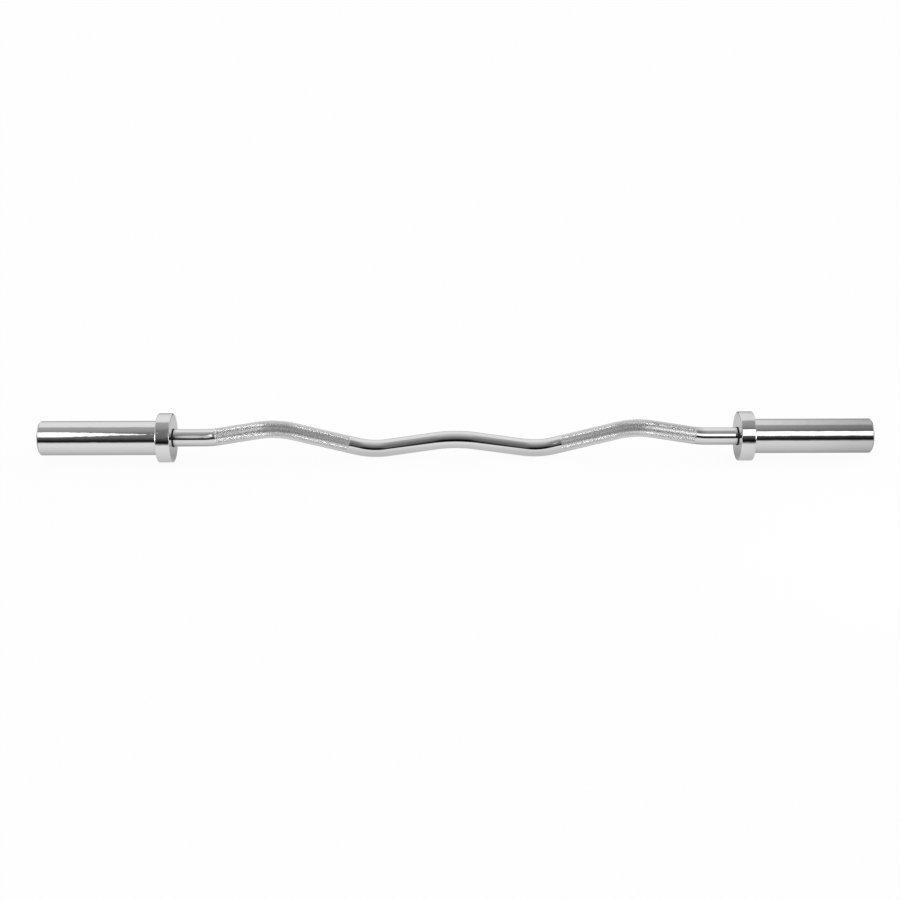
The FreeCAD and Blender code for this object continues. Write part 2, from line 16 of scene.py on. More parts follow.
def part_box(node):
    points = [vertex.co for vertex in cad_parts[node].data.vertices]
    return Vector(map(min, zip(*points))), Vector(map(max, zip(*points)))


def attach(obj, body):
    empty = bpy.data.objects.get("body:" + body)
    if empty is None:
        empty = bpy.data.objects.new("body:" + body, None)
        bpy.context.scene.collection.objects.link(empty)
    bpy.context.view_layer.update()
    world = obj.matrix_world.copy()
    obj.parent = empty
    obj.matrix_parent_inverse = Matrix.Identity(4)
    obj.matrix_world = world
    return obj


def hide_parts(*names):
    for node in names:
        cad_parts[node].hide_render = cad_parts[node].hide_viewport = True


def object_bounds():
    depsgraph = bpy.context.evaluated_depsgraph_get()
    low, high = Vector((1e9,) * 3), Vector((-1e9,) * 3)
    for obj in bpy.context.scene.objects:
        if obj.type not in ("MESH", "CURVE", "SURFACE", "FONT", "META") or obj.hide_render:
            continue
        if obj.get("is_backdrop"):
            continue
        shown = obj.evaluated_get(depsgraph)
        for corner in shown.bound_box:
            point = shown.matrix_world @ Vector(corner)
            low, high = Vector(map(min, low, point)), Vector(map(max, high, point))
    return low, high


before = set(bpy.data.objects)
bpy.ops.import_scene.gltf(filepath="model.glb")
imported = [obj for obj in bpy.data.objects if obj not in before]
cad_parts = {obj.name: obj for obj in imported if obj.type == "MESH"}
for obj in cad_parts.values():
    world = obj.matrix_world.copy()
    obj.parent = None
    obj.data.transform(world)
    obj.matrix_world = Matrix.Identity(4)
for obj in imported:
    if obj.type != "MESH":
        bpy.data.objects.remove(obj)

MM = 0.001
cad_low, cad_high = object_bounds()
print("frame:", len(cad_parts), "nodes,", [round(x / MM, 1) for x in cad_high - cad_low], "mm")

# %% [markdown]
# ## Camera
# The photograph looks at the bar from the front and a little above, from about two metres away. A camera
# is aimed by turning it or by moving it sideways. Moving it keeps the picture plane in line with the bar,
# so both ends stay equally large, as they nearly are in the photograph. The picture leans by a fifth of a
# degree.

# %% Camera
PHOTO_SIDE = 900
BAR_MIDDLE_PIXEL = (455.4, 437.0)
PIXELS_PER_METRE = 690.5
CAMERA_DISTANCE = 2.07
CAMERA_ELEVATION = math.radians(19.0)
CAMERA_LEAN = math.radians(-0.19)
SENSOR_WIDTH = 36.0

turned = Euler((math.pi / 2 - CAMERA_ELEVATION, 0, 0)).to_matrix()
right, up, back = turned.col
aside = (PHOTO_SIDE / 2 - BAR_MIDDLE_PIXEL[0]) / PIXELS_PER_METRE
above = (BAR_MIDDLE_PIXEL[1] - PHOTO_SIDE / 2) / PIXELS_PER_METRE
bpy.ops.object.camera_add(
    location=back * CAMERA_DISTANCE + right * aside + up * above,
    rotation=(turned @ Matrix.Rotation(CAMERA_LEAN, 3, "Z")).to_euler(),
)
camera = bpy.context.object
camera.data.sensor_width = SENSOR_WIDTH
camera.data.lens = PIXELS_PER_METRE * CAMERA_DISTANCE * SENSOR_WIDTH / PHOTO_SIDE
bpy.context.scene.camera = camera
bpy.context.scene.view_settings.view_transform = "Standard"
print("camera: lens", round(camera.data.lens, 1), "mm at", [round(x, 3) for x in camera.location])

# %% [markdown]
# ## Colours and nodes
# A colour is written as the hex value that a picture program shows, and the renderer wants it linear, so
# one function translates. Another adds a node to any tree, sets it and links it, and nothing else is needed.

# %% Colours and nodes
WHITE = "#ffffff"
MIDDLE_GREY = "#808080"


def linear(hex_colour):
    """An sRGB hex colour as linear red, green, blue and alpha."""
    channels = [int(hex_colour[k : k + 2], 16) / 255 for k in (1, 3, 5)]
    return [c / 12.92 if c <= 0.04045 else ((c + 0.055) / 1.055) ** 2.4 for c in channels] + [1.0]


def add_node(tree, kind, settings={}, inputs={}):
    """Adds a node. An input is a plain value or another node's output."""
    node = tree.nodes.new(kind)
    for name, value in settings.items():
        setattr(node, name, value)
    for socket, value in inputs.items():
        if isinstance(value, bpy.types.NodeSocket):
            tree.links.new(value, node.inputs[socket])
        else:
            node.inputs[socket].default_value = value
    return node


print("linear:", WHITE, "is", linear(WHITE)[0], "and", MIDDLE_GREY, "is", round(linear(MIDDLE_GREY)[0], 3))

# %% [markdown]
# ## Room
# The bar lies in a white room, which is a plain world light. To the eye, and in the chrome, the room is
# white at a strength of exactly one. The light that it throws on dull surfaces is a little weaker, and the
# Light Path node tells the two kinds of ray apart.

# %% Room
ROOM_LIGHT = 0.85


def seen_ray(tree):
    """One for rays from the eye, a mirror or glass, and nought for light on a dull surface."""
    path = add_node(tree, "ShaderNodeLightPath")
    mirrors = add_node(tree, "ShaderNodeMath", {"operation": "ADD"},
                       {0: path.outputs["Is Glossy Ray"], 1: path.outputs["Is Transmission Ray"]})
    both = add_node(tree, "ShaderNodeMath", {"operation": "ADD", "use_clamp": True},
                    {0: mirrors.outputs[0], 1: path.outputs["Is Camera Ray"]})
    return both.outputs[0]


room = bpy.data.worlds.new("white_room")
room.use_nodes = True
bpy.context.scene.world = room
tree = room.node_tree
strength = add_node(tree, "ShaderNodeMapRange", {},
                    {"Value": seen_ray(tree), "To Min": ROOM_LIGHT, "To Max": 1.0})
tree.nodes["Background"].inputs["Color"].default_value = linear(WHITE)
tree.links.new(strength.outputs[0], tree.nodes["Background"].inputs["Strength"])
print("room:", len(tree.nodes), "nodes")

# %% [markdown]
# ## Floor
# The bar lies on white paper, so wide that no view finds its edge. For the rays that are seen the paper
# glows, as the room does, and what it doesn't glow it shades, which leaves a breath of shadow.

# %% Floor
FLOOR_SIDE = 120.0
FLOOR_GLOW = 0.93
FLOOR_PAPER = "#fafafa"

paper = bpy.data.materials.new("white_paper")
paper.use_nodes = True
tree = paper.node_tree
dull = add_node(tree, "ShaderNodeBsdfDiffuse", {}, {"Color": linear(FLOOR_PAPER)})
glow = add_node(tree, "ShaderNodeEmission", {}, {"Color": linear(WHITE), "Strength": 1.0})
share = add_node(tree, "ShaderNodeMath", {"operation": "MULTIPLY"}, {0: seen_ray(tree), 1: FLOOR_GLOW})
mixed = add_node(tree, "ShaderNodeMixShader", {},
                 {0: share.outputs[0], 1: dull.outputs[0], 2: glow.outputs[0]})
tree.links.new(mixed.outputs[0], tree.nodes["Material Output"].inputs["Surface"])

bpy.ops.mesh.primitive_plane_add(size=FLOOR_SIDE, location=(0, 0, cad_low.z))
floor = bpy.context.object
floor.name = "floor"
floor.data.materials.append(paper)
floor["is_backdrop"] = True
print("floor at", round(cad_low.z / MM, 2), "mm")

# %% [markdown]
# ## Light tent
# Chrome has no colour of its own: it is a picture of the room, squeezed into bands, and in an all-white
# room it would vanish. So a photographer hangs a sheet over the bar like a tent, and lays it under the bar
# as well. The sheet is not lit but glows, and under and behind the bar its glow is painted darker, a
# painted shadow of the bar. The tent is an edge, spun round the bar from the floor in front to the floor
# behind and then pulled back along the floor. It is long, so that a sleeve seen from its end still mirrors
# cloth and not the opening. Only mirrors see it.

# %% Light tent
TENT_RADIUS = 1.15
TENT_HALF_LENGTH = 10.0
TENT_STEPS = 64
SHEET_LIFT = 0.5 * MM

sheet_height = cad_low.z + SHEET_LIFT
tent_foot = math.asin(sheet_height / TENT_RADIUS)
foot_reach = TENT_RADIUS * math.cos(tent_foot)
bpy.ops.object.select_all(action="DESELECT")
bpy.ops.mesh.primitive_plane_add(size=2)
tent = bpy.context.object
tent.name = "light_tent"
bpy.ops.object.mode_set(mode="EDIT")
bpy.ops.mesh.select_all(action="SELECT")
bpy.ops.transform.resize(value=(TENT_HALF_LENGTH, 0, 0), center_override=(0, 0, 0))
bpy.ops.mesh.remove_doubles(threshold=MM)
bpy.ops.transform.translate(value=(0, -foot_reach, sheet_height))
bpy.ops.mesh.spin(steps=TENT_STEPS, angle=math.pi - 2 * tent_foot, center=(0, 0, 0), axis=(1, 0, 0))
bpy.ops.mesh.extrude_region_move(TRANSFORM_OT_translate={"value": (0, -2 * foot_reach, 0)})
bpy.ops.mesh.select_all(action="SELECT")
bpy.ops.mesh.remove_doubles(threshold=MM)
bpy.ops.object.mode_set(mode="OBJECT")
tent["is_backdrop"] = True
tent.visible_camera = tent.visible_diffuse = tent.visible_shadow = False
tent_top = max(vertex.co.z for vertex in tent.data.vertices)
print("tent:", len(tent.data.polygons), "faces, up to", round(tent_top, 2), "m")

# %% [markdown]
# ## The tent's tones
# How bright the cloth is depends on the angle round the bar. Nought is level with the bar in front of it,
# 90 is overhead, 180 is behind it and -90 is right under it. In front hangs black cloth, which draws the
# dark line along the bar. Above that the cloth is grey, and then white overhead. Behind, a black hem draws
# the same line for whoever walks round. On the floor it is white in front of the bar, and under and behind
# it the tones are a painted shadow of the bar, deeper under the sleeves. Over the middle the grey runs
# smoothly into white. Over the sleeves it stays grey until it is overhead and then turns white at once.
# Two more lists run along the bar and paint the cloth dimmer towards the bar's right end, and the floor
# part far to the left as well: a painted falloff of light.

# %% The tent's tones
# From about -30 down to -170 degrees, on the floor under and behind the bar, these tones are a painted shadow
# of the bar, deeper in the sleeves' list.
MIDDLE_TONES = [(-180, 0.004), (-175, 0.02), (-172, 0.5), (-170, 0.7), (-150, 0.6), (-104, 0.66), (-78, 0.74),
                (-57, 0.8), (-43, 0.87), (-34, 0.96), (-15, 1.0), (-10, 0.3), (-6, 0.004), (14, 0.004),
                (20, 0.03), (32, 0.155), (46, 0.24), (60, 0.39), (91, 0.735), (110, 0.95), (125, 1.0),
                (160, 1.0), (168, 0.8), (174, 0.2), (178, 0.004), (180, 0.004)]
SLEEVE_TONES = [(-180, 0.004), (-175, 0.02), (-172, 0.5), (-170, 0.68), (-162, 0.62), (-145, 0.47),
                (-125, 0.38), (-97, 0.42), (-80, 0.53), (-68, 0.64), (-60, 0.71), (-48, 0.81), (-30, 0.93),
                (-15, 0.96), (-10, 0.3), (-6, 0.004), (0, 0.01), (13, 0.1), (22, 0.18), (50, 0.22),
                (66, 0.38), (94, 0.49), (98, 0.92), (106, 1.0), (130, 1.0), (155, 0.88), (168, 0.72),
                (174, 0.2), (178, 0.004), (180, 0.004)]
# These two lists paint the cloth dimmer along the bar, towards its right end and, on the floor, far to the
# left: painted falloff of light.
UPPER_PAINTED_FALLOFF = [(-1.5, 1.0), (0.38, 1.0), (0.42, 0.94), (0.5, 0.76), (0.6, 0.57), (0.75, 1.0), (1.5, 1.0)]
FLOOR_PAINTED_FALLOFF = [(-1.5, 0.75), (-0.8, 0.75), (-0.66, 1.0), (0.38, 1.0), (0.42, 0.93), (0.5, 0.9), (0.57, 0.77),
               (0.62, 0.72), (1.5, 0.72)]
MIDDLE_REACH, SLEEVES_FROM = 0.225, 0.4
print("tones:", len(MIDDLE_TONES), "over the middle,", len(SLEEVE_TONES), "over the sleeves")

# %% [markdown]
# ## Places on the cloth
# The cloth needs two numbers for each spot: its angle round the bar and its place along it. A straight bar
# shows the camera a stretch of cloth that is wider than itself, by as much as the lines of sight spread on
# their way. Dividing by that spread gives the place on the bar where the spot is seen.

# %% Places on the cloth
cloth = bpy.data.materials.new("tent_cloth")
cloth.use_nodes = True
tree = cloth.node_tree
spot = add_node(tree, "ShaderNodeTexCoord").outputs["Object"]
facing = add_node(tree, "ShaderNodeMapping", {}, {"Vector": spot, "Scale": (0, -1, 1)}).outputs[0]
aim = add_node(tree, "ShaderNodeSeparateXYZ", {}, {0: facing}).outputs
angle = add_node(tree, "ShaderNodeMath", {"operation": "ARCTAN2"}, {0: aim["Z"], 1: aim["Y"]})
degrees = add_node(tree, "ShaderNodeMath", {"operation": "DEGREES"}, {0: angle.outputs[0]}).outputs[0]
away = add_node(tree, "ShaderNodeVectorMath", {"operation": "LENGTH"}, {0: facing}).outputs["Value"]
spread = add_node(tree, "ShaderNodeMath", {"operation": "MULTIPLY_ADD"},
                  {0: away, 1: 1 / CAMERA_DISTANCE, 2: 1.0})
side = add_node(tree, "ShaderNodeSeparateXYZ", {}, {0: spot}).outputs["X"]
along = add_node(tree, "ShaderNodeMath", {"operation": "DIVIDE"}, {0: side, 1: spread.outputs[0]}).outputs[0]
print("cloth: at the tent's radius the spread is", round(1 + TENT_RADIUS / CAMERA_DISTANCE, 2))

# %% [markdown]
# ## The tent's cloth
# Each list of tones becomes a colour ramp. The cloth glows with the tones of the middle or the sleeves, and
# dims along the bar as the list for the upper cloth or the floor says, which is a painted falloff of light.

# %% The tent's cloth
tones = []
for value, stops in ((degrees, MIDDLE_TONES), (degrees, SLEEVE_TONES),
                     (along, FLOOR_PAINTED_FALLOFF), (along, UPPER_PAINTED_FALLOFF)):
    low, high = stops[0][0], stops[-1][0]
    share = add_node(tree, "ShaderNodeMapRange", {}, {"Value": value, "From Min": low, "From Max": high})
    ramp = add_node(tree, "ShaderNodeValToRGB", {}, {0: share.outputs[0]})
    points = ramp.color_ramp.elements
    points[0].color, points[1].color = [stops[0][1]] * 3 + [1], [stops[-1][1]] * 3 + [1]
    for stop, tone in stops[1:-1]:
        points.new((stop - low) / (high - low)).color = [tone] * 3 + [1]
    tones.append(ramp.outputs[0])
middle_tone, sleeve_tone, floor_painted_falloff, upper_painted_falloff = tones

reach = add_node(tree, "ShaderNodeMath", {"operation": "ABSOLUTE"}, {0: along})
over_sleeves = add_node(tree, "ShaderNodeMapRange", {},
                        {"Value": reach.outputs[0], "From Min": MIDDLE_REACH, "From Max": SLEEVES_FROM})
grey = add_node(tree, "ShaderNodeMix", {"data_type": "RGBA"},
                {"Factor": over_sleeves.outputs[0], 6: middle_tone, 7: sleeve_tone})
# Below level the floor list dims the glow and above it the upper list: a painted falloff of light along the
# bar.
overhead = add_node(tree, "ShaderNodeMath", {"operation": "GREATER_THAN"}, {0: degrees, 1: 0.0})
dimmed = add_node(tree, "ShaderNodeMix", {"data_type": "FLOAT"},
                  {0: overhead.outputs[0], 2: floor_painted_falloff, 3: upper_painted_falloff})
light = add_node(tree, "ShaderNodeEmission", {}, {"Color": grey.outputs[2], "Strength": dimmed.outputs[0]})
tree.links.new(light.outputs[0], tree.nodes["Material Output"].inputs["Surface"])
tent.data.materials.append(cloth)
print("cloth:", len(tree.nodes), "nodes")

# %% [markdown]
# ## Softbox
# A lamp behind white cloth makes the white stripe on the right end. It is given by its span along the bar and
# its heights, which are angles up from level with the bar. It stands near, so that the shaft's last slope,
# which throws its reflection far to the side, catches it as well.

# %% Softbox
LAMP_RADIANCE = 1.5
SOFTBOX_DISTANCE = 0.6
SOFTBOX_SPAN = (0.46, 1.0)
SOFTBOX_HEIGHTS = (19.5, 48.5)


def facing_bar(distance, span, heights):
    """The place, turn, width and height of something flat that faces the bar."""
    lowest, highest = (math.radians(height) for height in heights)
    tilt = (lowest + highest) / 2
    place = (sum(span) / 2, -distance * math.cos(tilt), distance * math.sin(tilt))
    height = 2 * distance * math.tan((highest - lowest) / 2)
    return place, (math.pi / 2 - tilt, 0, 0), span[1] - span[0], height


place, turn, width, height = facing_bar(SOFTBOX_DISTANCE, SOFTBOX_SPAN, SOFTBOX_HEIGHTS)
bpy.ops.object.light_add(type="AREA", location=place, rotation=turn)
softbox = bpy.context.object
softbox.name = "softbox"
softbox.data.shape = "RECTANGLE"
softbox.data.size, softbox.data.size_y = width, height
softbox.data.energy = LAMP_RADIANCE * math.pi * width * height
softbox.visible_camera = False
print("softbox:", round(softbox.data.energy, 2), "W")

# %% [markdown]
# ## Cards for the knurl
# A knurl is made of small slopes that look to the left and right of the bar. Lamps far out on both sides
# light those slopes, which draws two bright lines along a knurl, and no smooth part mirrors them towards
# the front. White cards that glow stand in for them, and again only mirrors see them.

# %% Cards for the knurl
KNURL_CARD_RADIANCE = 9.5
KNURL_CARD_DISTANCE = 0.6
KNURL_CARDS = {
    "right_card": ((0.825, 1.625), (-8, 40)),
    "left_card": ((-1.625, -0.825), (-8, 40)),
    "high_left_card": ((-2.2, -1.4), (22, 66)),
}


def lit_card(name, distance, span, heights, radiance):
    """A glowing card that faces the bar. Returns it with its width and height."""
    place, turn, width, height = facing_bar(distance, span, heights)
    bpy.ops.object.select_all(action="DESELECT")
    bpy.ops.mesh.primitive_plane_add(size=1)
    card = bpy.context.object
    card.name = name
    bpy.ops.object.mode_set(mode="EDIT")
    bpy.ops.mesh.select_all(action="SELECT")
    bpy.ops.transform.resize(value=(width, height, 1), center_override=(0, 0, 0))
    bpy.ops.object.mode_set(mode="OBJECT")
    lit = bpy.data.materials.new("lit_" + name)
    lit.use_nodes = True
    glow = add_node(lit.node_tree, "ShaderNodeEmission", {}, {"Color": linear(WHITE), "Strength": radiance})
    lit.node_tree.links.new(glow.outputs[0], lit.node_tree.nodes["Material Output"].inputs["Surface"])
    card.data.materials.append(lit)
    card.location, card.rotation_euler = place, turn
    card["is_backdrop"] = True
    card.visible_camera = card.visible_diffuse = card.visible_shadow = False
    print(name, round(width, 2), "by", round(height, 2), "m")
    return card, width, height


knurl_cards = [lit_card(name, KNURL_CARD_DISTANCE, span, heights, KNURL_CARD_RADIANCE)
               for name, (span, heights) in KNURL_CARDS.items()]

# %% [markdown]
# ## Soft edges
# A bare card would be a hard patch in the chrome for whoever walks round the bar. So each is bright in its
# middle and fades towards its edges. A round gradient, stretched to the card's shape, says how near the
# middle a spot is.

# %% Soft edges
CARD_EDGE = 0.6


def fading_glow(tree, width, height, most):
    """A value that is most in the middle of a card and falls to nought at its edges."""
    place = add_node(tree, "ShaderNodeTexCoord").outputs["Object"]
    reach = add_node(tree, "ShaderNodeMapping", {}, {"Vector": place, "Scale": (2 / width, 2 / height, 1)})
    nearness = add_node(tree, "ShaderNodeTexGradient", {"gradient_type": "SPHERICAL"}, {0: reach.outputs[0]})
    glow = add_node(tree, "ShaderNodeMapRange", {"interpolation_type": "SMOOTHSTEP"},
                    {"Value": nearness.outputs["Fac"], "From Max": CARD_EDGE, "To Max": most})
    return glow.outputs[0]


for card, width, height in knurl_cards:
    tree = card.data.materials[0].node_tree
    glow = fading_glow(tree, width, height, KNURL_CARD_RADIANCE)
    tree.links.new(glow, tree.nodes["Emission"].inputs["Strength"])
print("soft edges:", len(knurl_cards), "cards")

# %% [markdown]
# ## A pointed card
# The stripe on the left end grows thin and runs out in a point before the collar. No lamp has that shape,
# so a card is cut to it: a plane whose inner edge is pinched together.

# %% Pointed card
POINTED_DISTANCE = 1.1
POINTED_SPAN = (-0.95, -0.655)
POINTED_HEIGHTS = (19, 65)


def select_where(piece, test):
    """In edit mode, selects the vertices that pass a test on their place, and what lies between them."""
    bpy.ops.object.mode_set(mode="OBJECT")
    for vertex in piece.data.vertices:
        vertex.select = test(vertex.co)
    for part in [*piece.data.edges, *piece.data.polygons]:
        part.select = all(piece.data.vertices[k].select for k in part.vertices)
    bpy.ops.object.mode_set(mode="EDIT")


card, width = lit_card("pointed_card", POINTED_DISTANCE, POINTED_SPAN, POINTED_HEIGHTS, LAMP_RADIANCE)[:2]
select_where(card, lambda co: co.x > 0)
inner_edge = card.matrix_world @ Vector((width / 2, 0, 0))
bpy.ops.transform.resize(value=(1, 0, 0), center_override=inner_edge)
bpy.ops.mesh.remove_doubles(threshold=MM)
bpy.ops.object.mode_set(mode="OBJECT")
print("pointed card:", len(card.data.vertices), "corners")

# %% [markdown]
# ## A dim card for the neck
# The bare neck of the shaft beside the left collar has a pale line above its dark one. It is dimmer than the
# stripes, as if it were a lit wall, and a small card that glows less gives it. The card stands close by, so
# that it also dims the pointed card for the first bend. Towards its edges it grows clear, and the cloth
# behind it shows, so from other sides it is a soft light too.

# %% Neck card
NECK_RADIANCE = 0.75
NECK_DISTANCE = 0.18
NECK_SPAN = (-0.4435, -0.378)
NECK_HEIGHTS = (10, 54)

card, width, height = lit_card("neck_card", NECK_DISTANCE, NECK_SPAN, NECK_HEIGHTS, NECK_RADIANCE)
tree = card.data.materials[0].node_tree
clear = add_node(tree, "ShaderNodeBsdfTransparent")
mixed = add_node(tree, "ShaderNodeMixShader", {},
                 {0: fading_glow(tree, width, height, 1.0), 1: clear.outputs[0],
                  2: tree.nodes["Emission"].outputs[0]})
tree.links.new(mixed.outputs[0], tree.nodes["Material Output"].inputs["Surface"])
print("neck card:", len(tree.nodes), "nodes")

# %% [markdown]
# ## Bright chrome
# Chrome plate on polished steel. The plate is a few thousandths of a millimetre thick and copies the steel
# below, and no polishing wheel leaves steel quite flat, so the eye gets a mirror whose long reflections
# ripple slightly. Rings from polishing on a lathe show as a little change in gloss. On a real bar they are
# far finer, and they are drawn a millimetre wide so that a picture can show them.

# %% Bright chrome
CHROME = "#dbdbdb"
RING_WIDTH, RING_LENGTH = 1.11 * MM, 16.7 * MM
NOISE_LOW, NOISE_HIGH = 0.3, 0.7
GLOSS_CHANGE = 0.4


def chrome_plate(name, roughness, ripple_size, ripple_height):
    """A mirror of bright plate. Sizes are in metres."""
    material = bpy.data.materials.new(name)
    material.use_nodes = True
    tree = material.node_tree
    shader = tree.nodes["Principled BSDF"]
    shader.inputs["Base Color"].default_value = linear(CHROME)
    shader.inputs["Metallic"].default_value = 1.0
    place = add_node(tree, "ShaderNodeTexCoord").outputs["Object"]
    smears = add_node(tree, "ShaderNodeMapping", {},
                      {"Vector": place, "Scale": (1 / RING_WIDTH, 1 / RING_LENGTH, 1 / RING_LENGTH)})
    rings = add_node(tree, "ShaderNodeTexNoise", {},
                     {"Vector": smears.outputs[0], "Scale": 1.0, "Detail": 3.0})
    gloss = add_node(tree, "ShaderNodeMapRange", {},
                     {"Value": rings.outputs["Fac"], "From Min": NOISE_LOW, "From Max": NOISE_HIGH,
                      "To Min": roughness * (1 - GLOSS_CHANGE), "To Max": roughness * (1 + GLOSS_CHANGE)})
    tree.links.new(gloss.outputs[0], shader.inputs["Roughness"])
    waves = add_node(tree, "ShaderNodeTexNoise", {},
                     {"Vector": place, "Scale": 1 / ripple_size, "Detail": 1.0})
    bump = add_node(tree, "ShaderNodeBump", {},
                    {"Height": waves.outputs["Fac"], "Strength": 1.0, "Distance": ripple_height})
    tree.links.new(bump.outputs[0], shader.inputs["Normal"])
    return material


# The turned sleeves and collars: the sharpest mirror, and large enough to show the most ripple.
sleeve_chrome = chrome_plate("chrome_plate_turned", 0.05, ripple_size=14 * MM, ripple_height=0.2 * MM)
# The drawn shaft: nearly as sharp, with longer and flatter ripples.
shaft_chrome = chrome_plate("chrome_plate_drawn", 0.06, ripple_size=18 * MM, ripple_height=0.1 * MM)
# The knurl: plate over crests that a wheel has pressed up, which blurs whatever they mirror.
knurl_chrome = chrome_plate("chrome_plate_knurled", 0.27, ripple_size=14 * MM, ripple_height=0.02 * MM)
print("chrome:", sleeve_chrome.name, shaft_chrome.name, knurl_chrome.name)

# %% [markdown]
# ## Worked metals
# Nothing else on the bar is chrome. The other metal parts are finished as they spin, on a lathe or a grinder,
# which leaves fine rings round the axis that stretch each highlight across them. The rings lie about a tenth
# of a millimetre apart. They are drawn a few times coarser, or no picture would show them.


# %% Worked metals
def worked_metal(name, colour, roughness, mark_size, mark_height):
    """A metal with the fine rings of a tool round the bar's axis. Sizes are in metres."""
    material = bpy.data.materials.new(name)
    material.use_nodes = True
    tree = material.node_tree
    shader = tree.nodes["Principled BSDF"]
    shader.inputs["Base Color"].default_value = linear(colour)
    shader.inputs["Metallic"].default_value = 1.0
    shader.inputs["Roughness"].default_value = roughness
    place = add_node(tree, "ShaderNodeTexCoord").outputs["Object"]
    parts = add_node(tree, "ShaderNodeSeparateXYZ", {}, {0: place})
    flat = add_node(tree, "ShaderNodeCombineXYZ", {}, {"Y": parts.outputs["Y"], "Z": parts.outputs["Z"]})
    reach = add_node(tree, "ShaderNodeVectorMath", {"operation": "LENGTH"}, {0: flat.outputs[0]})
    lines = add_node(tree, "ShaderNodeTexNoise", {"noise_dimensions": "1D"},
                     {"W": reach.outputs["Value"], "Scale": 1 / mark_size, "Detail": 2.0})
    bump = add_node(tree, "ShaderNodeBump", {},
                    {"Height": lines.outputs["Fac"], "Strength": 1.0, "Distance": mark_height})
    tree.links.new(bump.outputs[0], shader.inputs["Normal"])
    return material


# Nickel left satin by the tool: a soft, faintly warm sheen beside the hard mirror of the sleeve.
nickel = worked_metal("satin_nickel_turned", "#b9b6ae", 0.3, mark_size=0.6 * MM, mark_height=0.01 * MM)
# Phosphate turns spring steel nearly black, so the ring reads as a dark line round the cap.
spring_steel = worked_metal("phosphated_spring_steel", "#2b2b2c", 0.45,
                            mark_size=0.4 * MM, mark_height=0.005 * MM)
# Bronze pressed from powder: a brown gold that looks soft, since its pores scatter the light.
bronze = worked_metal("sintered_bronze", "#b08d57", 0.4, mark_size=0.5 * MM, mark_height=0.01 * MM)
# Ground steel: a pale, cool grey with a tighter highlight than the nickel.
ground_steel = worked_metal("surface_ground_steel", "#a9abad", 0.25,
                            mark_size=0.3 * MM, mark_height=0.005 * MM)
print("metals:", nickel.name, spring_steel.name, bronze.name, ground_steel.name)

# %% [markdown]
# ## Moulded rubber
# The dust seal is nitrile rubber from a mould: a dull black that swallows the light between the shaft and
# the collar, with a faint grain where the metals have rings.

# %% Moulded rubber
RUBBER = "#151515"
RUBBER_ROUGHNESS = 0.65
RUBBER_IOR = 1.52
GRAIN_SIZE, GRAIN_HEIGHT = 0.4 * MM, 0.01 * MM

rubber = bpy.data.materials.new("nitrile_rubber")
rubber.use_nodes = True
tree = rubber.node_tree
shader = tree.nodes["Principled BSDF"]
shader.inputs["Base Color"].default_value = linear(RUBBER)
shader.inputs["Roughness"].default_value = RUBBER_ROUGHNESS
shader.inputs["IOR"].default_value = RUBBER_IOR
place = add_node(tree, "ShaderNodeTexCoord").outputs["Object"]
grain = add_node(tree, "ShaderNodeTexNoise", {}, {"Vector": place, "Scale": 1 / GRAIN_SIZE})
bump = add_node(tree, "ShaderNodeBump", {},
                {"Height": grain.outputs["Fac"], "Strength": 1.0, "Distance": GRAIN_HEIGHT})
tree.links.new(bump.outputs[0], shader.inputs["Normal"])
print("rubber:", len(tree.nodes), "nodes")

# %% [markdown]
# ## Dressing the frame
# The tubes, collars and small parts keep their measured shapes and only get a finish. The names of the two
# sides end alike, so the end of a name decides. The shaft gets none here, because it is made again below.

# %% Dressing the frame
FINISHES = {
    "sleeve_tube": sleeve_chrome,
    "collar": sleeve_chrome,
    "end_cap": nickel,
    "circlip": spring_steel,
    "bush": bronze,
    "thrust_washer": ground_steel,
    "dust_seal": rubber,
}
for name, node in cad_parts.items():
    for ending, finish in FINISHES.items():
        if name.endswith(ending):
            node.material_slots[0].material = finish
            print(name, "gets", finish.name)

# %% [markdown]
# ## The bend line
# A press bends the straight bar cold, seven times in one plane. The middle of the bent bar is a line of
# straight runs between corner points, with an arc at each corner. The right half's corners are listed, and
# the left half mirrors them. How far the bent shaft is turned about its own length is read from the frame.

# %% Corners of the bend line
SHAFT_RADIUS = 12.5 * MM
RIGHT_CORNERS = [(122 * MM, -31.7 * MM), (257 * MM, 24.6 * MM), (353 * MM, 0.0)]
RIGHT_RADII = [75 * MM, 80 * MM, 80 * MM]
MIDDLE_CORNER = (0.0, -2.9 * MM)
MIDDLE_RADIUS = 125 * MM

shaft_low, shaft_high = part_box("shaft")
rest_turn = math.atan2(shaft_high.y - SHAFT_RADIUS, -shaft_low.z - SHAFT_RADIUS)
across = Vector((0, -math.sin(rest_turn), math.cos(rest_turn)))

left_corners = [(-x, offset) for x, offset in reversed(RIGHT_CORNERS)]
flat_corners = left_corners + [MIDDLE_CORNER] + RIGHT_CORNERS
corners = [Vector((x, 0, 0)) + across * offset for x, offset in flat_corners]
radii = RIGHT_RADII[::-1] + [MIDDLE_RADIUS] + RIGHT_RADII
print("corners:", len(corners), "in a plane turned by", round(math.degrees(rest_turn), 2), "degrees")

# %% [markdown]
# ## Runs and arcs
# A curve with handles of the right length draws arcs as small as these to within a hair. For an arc the
# length is four thirds of the tangent of a quarter of its angle, times its radius, and a straight run has
# its handles at its thirds. The length of the whole line adds up on the way.

